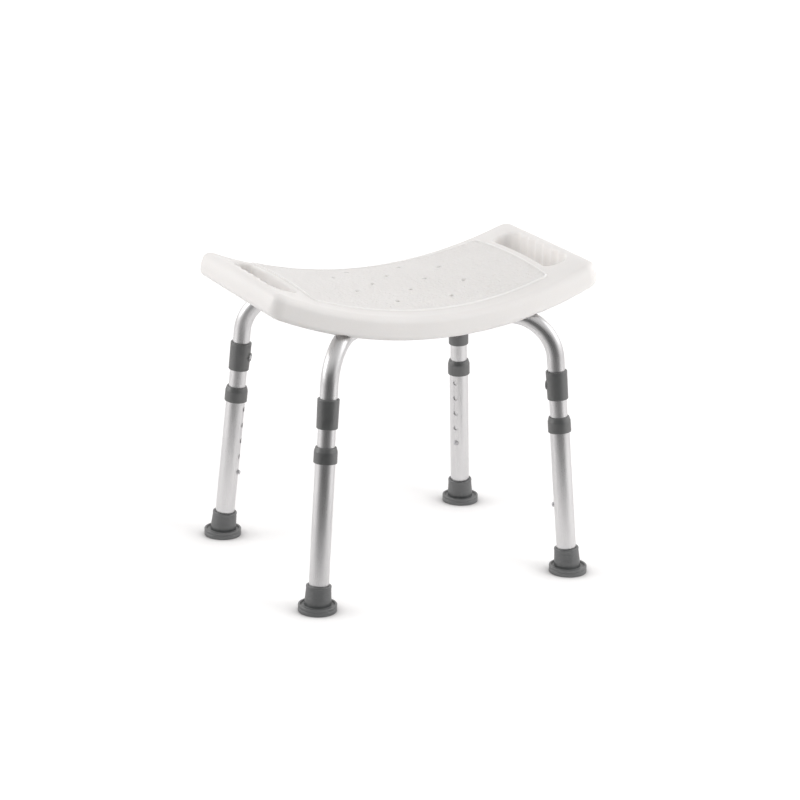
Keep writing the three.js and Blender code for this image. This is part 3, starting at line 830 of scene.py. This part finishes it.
bolt_lines = cube_lines(6.2, CROSSING_BOTTOM - 10.5, CROSSING_TOP + 5, 0.3)
bolt = skin("crossing_bolt_fine", bolt_field, bolt_lines)
piece(bolt.name, bolt, STEEL, "seat_frame", ["crossing_bolt"])
nut_lines = cube_lines(6.2, CROSSING_BOTTOM - 9, CROSSING_BOTTOM - 1, 0.28)
nut = skin("crossing_nut_fine", nut_field, nut_lines)
piece(nut.name, nut, STEEL, "seat_frame", ["crossing_nut"])
washer_outline = tube_outline(7, 3.2, CROSSING_BOTTOM - 1.9, CROSSING_BOTTOM - 0.3)
washer = turned("crossing_washer_fine", washer_outline, radius=0.3)
piece(washer.name, washer, STEEL, "seat_frame", ["crossing_washer"], weighted=True)

saddle_mesh = skin("saddle", saddle_field, cube_lines(8.8, TUBE_BOTTOM - 5, TUBE_BOTTOM + 4, 0.42))
screw_mesh = skin("screw", screw_field, cube_lines(5.4, TUBE_BOTTOM - 8.6, CHANNEL["roof"] + 10, 0.3))
for leg, (side_x, side_y) in LEGS.items():
    turn = Matrix.Rotation(FRAME_ANGLE * side_x * side_y, 4, "Z")
    spot_x = side_x * SCREW_OFFSET * math.cos(FRAME_ANGLE)
    spot_y = side_y * SCREW_OFFSET * math.sin(FRAME_ANGLE)
    place = upright(spot_x, spot_y) @ turn
    name = f"{leg}_saddle"
    piece(f"{name}_fine", saddle_mesh.copy(), GREY, "seat_frame", [name], place)
    name = f"{leg}_seat_screw"
    piece(f"{name}_fine", screw_mesh.copy(), STEEL, "seat_frame", [name], place)


# ------------------------------------------------------------------ legs
def sleeve_field(x, y, z):
    r = np.hypot(x, y)
    share = (z - SLEEVE["bottom"]) / (SLEEVE["top"] - SLEEVE["bottom"])
    wall = r - SLEEVE["low"] - (SLEEVE["high"] - SLEEVE["low"]) * share
    body = both(wall, z - SLEEVE["top"], 1.4)
    body = both(body, SLEEVE["bottom"] - z, 1.0)
    around = np.hypot(y, z - SLEEVE_BUTTON)
    boss = both(around - 6.8, x - SLEEVE["high"] - 0.9, 0.9)
    boss = both(boss, 12 - x)
    body = either(body, boss, 0.9)
    body = without(body, r - SLEEVE["bore"], 0.5)
    return without(body, both(around - HOLE_RADIUS - 0.3, 5 - x), 0.4)


def foot_field(x, y, z):
    leg_x = x * math.cos(LEAN) - z * math.sin(LEAN)
    leg_z = x * math.sin(LEAN) + z * math.cos(LEAN)
    r = np.hypot(x, y)
    leg_r = np.hypot(leg_x, y)
    share = np.clip((leg_z - 14) / (FOOT["height"] - 14), 0, 1)
    ribs = FOOT_RIBS["depth"] * (0.5 + 0.5 * np.cos(leg_z * 2 * math.pi / FOOT_RIBS["pitch"]))
    ribs = ribs * ease(*FOOT_RIBS["low"], leg_z) * (1 - ease(*FOOT_RIBS["high"], leg_z))
    lip = 0.35 * ease(34.2, 35.2, leg_z)
    wall = leg_r - FOOT["waist"] - (FOOT["mouth"] - FOOT["waist"]) * share + ribs - lip
    cup = both(wall, leg_z - FOOT["height"], 1.2)
    cup = both(cup, 3 - z)
    top = FOOT["thick"] - 2.2 * (1 - ease(23.4, 24.8, r))
    flange = both(r - FOOT["base"], z - top, 1.3)
    flange = both(flange, -z, 1.2)
    body = either(cup, flange, 0.8)
    groove = np.hypot(r - FOOT["base"] - 0.15, z - FOOT_GROOVE["height"]) - FOOT_GROOVE["radius"]
    body = without(body, groove, 0.3)
    for ring in TREAD_RINGS:
        body = without(body, both(np.abs(r - ring) - 0.9, z - 1.1, 0.3), 0.4)
    bore = both(leg_r - OUTER_TUBE["outer"] - SNUG, OUTER_TUBE["bottom"] - 2.2 - leg_z, 0.5)
    return without(body, bore, 0.7)


def button_outline(flange, tip):
    """A button's flange, and its domed pin up to the tip."""
    return [
        (0, flange - 1),
        (4.9, flange - 1),
        (4.9, flange),
        (BUTTON_RADIUS, flange),
        (BUTTON_RADIUS, tip - 1.9),
        (BUTTON_RADIUS * 0.93, tip - 1.1),
        (BUTTON_RADIUS * 0.74, tip - 0.45),
        (BUTTON_RADIUS * 0.4, tip - 0.1),
        (0, tip),
    ]


def button_holes(*heights):
    return [(across(height), HOLE_RADIUS, *HOLE_DRILL) for height in heights]


collar_bore = OUTER_TUBE["outer"] + SNUG
collar_lip = OUTER_TUBE["top"] + 0.3
collar_mesh = turned(
    "collar",
    [
        (collar_bore, COLLAR["bottom"]),
        (COLLAR["wide"], COLLAR["bottom"]),
        (COLLAR["wide"] - 0.1, COLLAR["top"] - 7),
        (COLLAR["narrow"] + 0.3, COLLAR["top"] - 0.4),
        (TUBE_OUTER + SNUG, COLLAR["top"]),
        (TUBE_OUTER + SNUG, collar_lip),
        (collar_bore, collar_lip),
    ],
    sides=72,
    radius=0.8,
)
outer_mesh = turned("outer_tube", tube_outline(**OUTER_TUBE), 72, 0.25)
hole_heights = [HOLE_LOWEST + HOLE_PITCH * i for i in range(HOLE_COUNT)]
outer_mesh = drilled(outer_mesh, *button_holes(*hole_heights))
inner_mesh = turned(
    "inner_tube",
    [
        (TUBE_INNER, INNER_TUBE["bottom"]),
        (TUBE_OUTER, INNER_TUBE["bottom"]),
        (TUBE_OUTER, INNER_TUBE["shoulder"]),
        (SPIGOT["outer"], SPIGOT["bottom"]),
        (SPIGOT["outer"], SPIGOT["top"]),
        (SPIGOT["inner"], SPIGOT["top"]),
        (SPIGOT["inner"], SPIGOT["bottom"]),
        (TUBE_INNER, INNER_TUBE["shoulder"]),
    ],
    72,
    0.4,
)
inner_mesh = drilled(inner_mesh, *button_holes(HOLE_LOWEST, SLEEVE_BUTTON))
sleeve_lines = cube_lines(17.6, SLEEVE["bottom"] - 1, SLEEVE["top"] + 1, 0.62)
sleeve_mesh = skin("sleeve", sleeve_field, sleeve_lines)
foot_mesh = skin("foot", foot_field, cube_lines(28.6, -0.9, 40.5, 0.66))
leg_button_mesh = turned("leg_button", button_outline(flange=7.9, tip=17.5), 40, 0.25)
leg_button_mesh.transform(across(SLEEVE_BUTTON))
height_button_mesh = turned("height_button", button_outline(flange=9.7, tip=17.9), 40, 0.25)
height_button_mesh.transform(across(HOLE_LOWEST))

for leg, (side_x, side_y) in LEGS.items():
    foot_x = side_x * FOOT_RADIUS * math.cos(FRAME_ANGLE)
    foot_y = side_y * FOOT_RADIUS * math.sin(FRAME_ANGLE)
    stand = upright(foot_x, foot_y) @ Matrix.Rotation(math.atan2(-foot_y, -foot_x), 4, "Z")
    leaning = stand @ Matrix.Rotation(LEAN, 4, "Y")
    leg_body = f"{leg}_leg"
    extension = f"{leg}_extension"
    for part, mesh, material, body, slot, place in (
        ("sleeve", sleeve_mesh, GREY, "seat_frame", "grey_plastic", leaning),
        ("inner_tube", inner_mesh, LEG_METAL, leg_body, "aluminium", leaning),
        ("outer_tube", outer_mesh, LEG_METAL, extension, "aluminium", leaning),
        ("collar", collar_mesh, GREY, extension, "grey_plastic", leaning),
        ("foot", foot_mesh, RUBBER, extension, "grey_rubber", stand),
        ("leg_button", leg_button_mesh, STEEL, f"{leg}_leg_button", "steel", leaning),
        ("height_button", height_button_mesh, STEEL, f"{leg}_height_button", "steel", leaning),
    ):
        name = f"{leg}_{part}"
        weighted = part in ("collar", "leg_button", "height_button")
        piece(f"{name}_fine", mesh.copy(), material, body, [name], place, weighted)
    kept = {"leg_spring": STEEL, "height_spring": STEEL, "foot_washer": STEEL, "insert": BRASS}
    for part, material in kept.items():
        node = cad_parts[f"{leg}_{part}"]
        node.data.materials.clear()
        node.data.materials.append(material)


# ------------------------------------------------------------------ camera
AZIMUTH = math.radians(-26.48)
ELEVATION = math.radians(17.11)
ROLL = math.radians(1.22)
DISTANCE = 4.1595
TARGET = Vector((-0.0142, -0.0423, 0.2516))
FOCAL = 128.9

back = Vector((
    math.sin(AZIMUTH) * math.cos(ELEVATION),
    -math.cos(AZIMUTH) * math.cos(ELEVATION),
    math.sin(ELEVATION),
))
right = Vector((math.cos(AZIMUTH), math.sin(AZIMUTH), 0))
upward = back.cross(right)
rolled_right = right * math.cos(ROLL) + upward * math.sin(ROLL)
rolled_up = upward * math.cos(ROLL) - right * math.sin(ROLL)
camera_data = bpy.data.cameras.new("camera")
camera_data.lens = FOCAL
camera_data.sensor_width = 36
camera_data.clip_end = 50
camera = bpy.data.objects.new("camera", camera_data)
bpy.context.scene.collection.objects.link(camera)
turn = Matrix((rolled_right, rolled_up, back)).transposed().to_4x4()
camera.matrix_world = Matrix.Translation(TARGET + back * DISTANCE) @ turn
bpy.context.scene.camera = camera


# ------------------------------------------------------------------ floor, world and lights
floor_form = bmesh.new()
bmesh.ops.create_grid(floor_form, x_segments=8, y_segments=8, size=12)
floor_mesh = bpy.data.meshes.new("floor")
floor_form.to_mesh(floor_mesh)
floor_form.free()
floor = bpy.data.objects.new("floor", floor_mesh)
bpy.context.scene.collection.objects.link(floor)

TOWARD = Vector((math.sin(AZIMUTH), -math.cos(AZIMUTH), 0))
BRIGHT_EDGE = 0.15  # cosine of the angle from the camera's side where the room starts to darken
CONTACT_REACH = 0.05  # metres round a foot within which a shadow is painted on the floor
CONTACT_SHADE = {"low": 0.0, "high": 1.0, "from_low": 0.45, "from_high": 0.97}
FLOOR_GLOW = {"low": 0.11, "high": 0.4, "from_low": 0.4, "from_high": 2.0}  # by metres from the centre
SKY_LEVEL = {"low": 1.12, "high": 0.57, "from_low": 0.45, "from_high": 0.95}  # by height in the sky


def darkening(n, vector):
    """0 in the bright part of the room, 1 straight towards the camera's side."""
    way = n.add("VectorMath", {0: vector, 1: (1, 1, 0)}, operation="MULTIPLY").outputs["Vector"]
    way = n.add("VectorMath", {0: way}, operation="NORMALIZE").outputs["Vector"]
    facing = n.add("VectorMath", {0: way, 1: TOWARD}, operation="DOT_PRODUCT").outputs["Value"]
    inputs = {"Value": facing, "From Min": BRIGHT_EDGE, "From Max": 1.0}
    return n.add("MapRange", inputs, interpolation_type="SMOOTHSTEP").outputs["Result"]


floor_nodes = Nodes(bpy.data.materials.new("pale_floor"))
place = floor_nodes.add("NewGeometry", {}).outputs["Position"]
nearer = floor_nodes.add("VectorMath", {0: place, 1: TOWARD}, operation="DOT_PRODUCT").outputs["Value"]
away = floor_nodes.add("VectorMath", {0: place}, operation="LENGTH").outputs["Value"]
fade = floor_nodes.spread(nearer, 0.0, 1.0, 0.1, 1.0)
place = floor_nodes.add("VectorMath", {0: place, 1: TOWARD * 0.35}, operation="ADD").outputs["Vector"]
dark_share = floor_nodes.math("MULTIPLY", darkening(floor_nodes, place), fade)
bounce = floor_nodes.mix(dark_share, (0.93, 0.92, 0.92), (0.12, 0.12, 0.12))
seen = floor_nodes.add("LightPath", {}).outputs["Is Camera Ray"]
# painted contact shadow: to camera rays the floor's colour darkens, and its glow fades, where ambient
# occlusion finds a foot close by
open_share = floor_nodes.add("AmbientOcclusion", {"Distance": CONTACT_REACH}).outputs["AO"]
open_share = floor_nodes.spread(open_share, **CONTACT_SHADE)
floor_tone = floor_nodes.mix(open_share, (0.68, 0.67, 0.67), (0.96, 0.96, 0.96))
floor_tone = floor_nodes.mix(seen, bounce, floor_tone)
lift = floor_nodes.spread(away, **FLOOR_GLOW)
lift = floor_nodes.math("MULTIPLY", floor_nodes.math("MULTIPLY", seen, open_share), lift)
floor_material = floor_nodes.done(
    Base_Color=floor_tone,
    Roughness=1.0,
    Specular_IOR_Level=0.0,
    Emission_Strength=lift,
    Emission_Color=(1, 1, 1, 1),
)
floor_mesh.materials.append(floor_material)

world = bpy.data.worlds.new("studio")
bpy.context.scene.world = world
room = Nodes(world, "Background")
way = room.add("TexCoord", {}).outputs["Generated"]
high = room.add("SeparateXYZ", {"Vector": way}).outputs["Z"]
low_share = room.spread(high, 1.0, 0.0, 0.3, 0.8)
dark_share = room.math("MULTIPLY", darkening(room, way), low_share)
sky = room.mix(dark_share, (1.0, 0.985, 0.98), (0.1, 0.1, 0.1))
level = room.spread(high, **SKY_LEVEL)
seen = room.add("LightPath", {}).outputs["Is Camera Ray"]
sky = room.mix(seen, sky, (1.0, 1.0, 1.0))
room.done(Color=sky, Strength=level)


LIT_CENTRE = Vector((0, 0, 0.25))


def softbox(name, azimuth, elevation, distance, size, power, glossy=True):
    """A square soft light that looks at the stool; without `glossy` it leaves no reflection."""
    data = bpy.data.lights.new(name, "AREA")
    data.shape = "SQUARE"
    data.size = size
    data.energy = power
    light = bpy.data.objects.new(name, data)
    bpy.context.scene.collection.objects.link(light)
    a = math.radians(azimuth)
    e = math.radians(elevation)
    away = Vector((math.sin(a) * math.cos(e), -math.cos(a) * math.cos(e), math.sin(e)))
    light.location = LIT_CENTRE + away * distance
    light.rotation_euler = away.to_track_quat("Z", "Y").to_euler()
    light.visible_glossy = glossy


softbox("left_box", -120, 25, 2.6, 1.6, 12)
softbox("right_box", 75, 30, 2.8, 1.6, 8)
softbox("left_fill", -92, 18, 2.4, 1.0, 3, glossy=False)
softbox("front_fill", -40, 14, 2.2, 1.0, 8, glossy=False)
softbox("right_fill", 36, 16, 1.7, 0.8, 8.5, glossy=False)

bpy.context.scene.view_settings.view_transform = "Standard"
